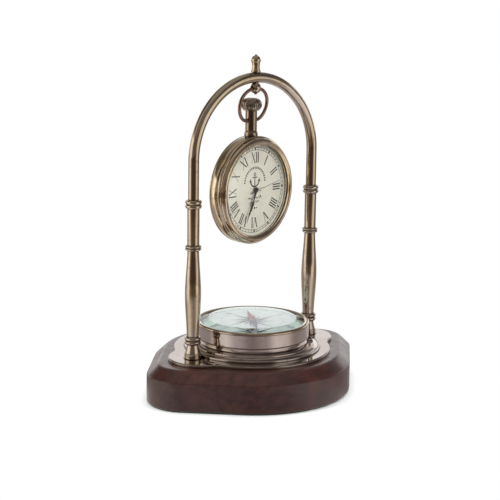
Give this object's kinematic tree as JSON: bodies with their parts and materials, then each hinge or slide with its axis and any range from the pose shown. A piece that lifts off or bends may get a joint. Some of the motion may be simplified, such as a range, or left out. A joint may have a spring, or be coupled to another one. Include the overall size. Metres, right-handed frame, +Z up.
{
  "type": "ship's deck clock",
  "caption": "Pocket watch hung by its bow from a brass arch on turned columns, over a glazed compass on a shaped wooden base.",
  "frame": {"origin": "centre of the base's underside, on the surface it stands on", "axes": "+Z up, X along the arch from the left column to the right one, -Y to the front, where the dial faces"},
  "size_m": [0.152, 0.122, 0.206],
  "materials": {
    "felt": "matt green baize",
    "mahogany": "satin dark mahogany",
    "plate_brass": "polished antique brass, grey brown with bright edges",
    "antique_brass": "polished antique brass, dark brown patina",
    "case_brass": "polished antique brass, warmer",
    "bow_bronze": "coppery brown patina",
    "crown_bronze": "dark antique finish, fluted",
    "zinc_steel": "zinc plated",
    "steel": "bright steel",
    "needle_steel": "blued, with one red half",
    "watch_glass": "clear domed crystal",
    "bevelled_glass": "clear bevelled glass, faint green edge",
    "dial_enamel": "cream printed dial",
    "hand_black": "dark bronzed hands",
    "compass_card": "pale printed card",
    "rubber_seal": "matt black",
    "pale_seal": "pale translucent silicone",
    "movement_plastic": "off-white moulded",
    "board": "green circuit board",
    "copper_wire": "enamelled copper winding",
    "gear_brass": "bright cut brass"
  },
  "bodies": {
    "base": {"felt_pad": "felt", "wood_base": "mahogany", "base_plate": "plate_brass", "left_column_foot": "antique_brass", "left_lower_collar": "antique_brass", "left_column_spindle": "antique_brass", "left_middle_collar": "antique_brass", "left_column_sleeve": "antique_brass", "left_ferrule": "antique_brass", "left_tie_rod": "zinc_steel", "right_column_foot": "antique_brass", "right_lower_collar": "antique_brass", "right_column_spindle": "antique_brass", "right_middle_collar": "antique_brass", "right_column_sleeve": "antique_brass", "right_ferrule": "antique_brass", "right_tie_rod": "zinc_steel", "rod_washers": "zinc_steel", "rod_nuts": "zinc_steel", "arch_tube": "antique_brass", "compass_flange": "plate_brass", "compass_case": "plate_brass", "compass_rim": "plate_brass", "compass_gasket": "pale_seal", "compass_glass": "bevelled_glass", "compass_card": "compass_card", "needle_pivot": "steel", "compass_bolt": "zinc_steel"},
    "hanger": {"hanger_ball": "antique_brass", "finial": "antique_brass"},
    "bow": {"bow": "bow_bronze"},
    "watch_case": {"pendant": "case_brass", "case_band": "case_brass", "front_bezel": "case_brass", "crystal_gasket": "rubber_seal", "watch_crystal": "watch_glass", "back_cover": "case_brass", "dial": "dial_enamel", "movement_holder": "movement_plastic", "movement_body": "movement_plastic", "circuit_board": "board", "button_cell": "steel", "cell_strap": "steel", "drive_coil": "copper_wire", "quartz_can": "steel"},
    "setting_slide": {"setting_lever": "steel"},
    "crown": {"crown": "crown_bronze", "stem": "steel"},
    "minute_hand": {"cannon_pinion": "gear_brass", "minute_hand": "hand_black"},
    "minute_wheel": {"minute_wheel": "gear_brass"},
    "hour_hand": {"hour_wheel": "gear_brass", "hour_hand": "hand_black"},
    "second_hand": {"second_arbor": "steel", "second_hand": "hand_black"},
    "compass_needle": {"compass_needle": "needle_steel", "needle_cap": "gear_brass"}
  },
  "joints": [
    {"name": "hanger_swivel", "type": "hinge", "parent": "base", "child": "hanger", "pos_m": [0, 0, 0.186], "axis": [0, 0, 1], "range_deg": [-30, 30]},
    {"name": "bow_swing", "type": "hinge", "parent": "hanger", "child": "bow", "pos_m": [0, 0, 0.186], "axis": [0.9914, 0.1305, 0], "range_deg": [-25, 25]},
    {"name": "case_tilt", "type": "hinge", "parent": "bow", "child": "watch_case", "pos_m": [-0.00042, 0.00317, 0.1662], "axis": [0.9914, 0.1305, 0], "range_deg": [-60, 60]},
    {"name": "crown_pull", "type": "slide", "parent": "watch_case", "child": "setting_slide", "axis": [0, 0, 1], "range_m": [0, 0.001]},
    {"name": "crown_turn", "type": "hinge", "parent": "setting_slide", "child": "crown", "pos_m": [-0.00042, 0.00317, 0.176], "axis": [0, 0, 1], "continuous": true},
    {"name": "minute_hand_turn", "type": "hinge", "parent": "watch_case", "child": "minute_hand", "pos_m": [0, 0, 0.124], "axis": [-0.1305, 0.9914, 0], "continuous": true},
    {"name": "minute_wheel_turn", "type": "hinge", "parent": "watch_case", "child": "minute_wheel", "pos_m": [0.00559, 0.00074, 0.12605], "axis": [-0.1305, 0.9914, 0], "continuous": true},
    {"name": "hour_hand_turn", "type": "hinge", "parent": "watch_case", "child": "hour_hand", "pos_m": [0, 0, 0.124], "axis": [-0.1305, 0.9914, 0], "continuous": true},
    {"name": "second_hand_turn", "type": "hinge", "parent": "watch_case", "child": "second_hand", "pos_m": [0, 0, 0.124], "axis": [-0.1305, 0.9914, 0], "continuous": true},
    {"name": "compass_needle_turn", "type": "hinge", "parent": "base", "child": "compass_needle", "pos_m": [0, 0, 0.0368], "axis": [0, 0, 1], "continuous": true}
  ],
  "couplings": [
    {"joint": "minute_wheel_turn", "follows": "minute_hand_turn", "ratio": -0.33333},
    {"joint": "hour_hand_turn", "follows": "minute_hand_turn", "ratio": 0.083333},
    {"joint": "second_hand_turn", "follows": "minute_hand_turn", "ratio": 60}
  ]
}
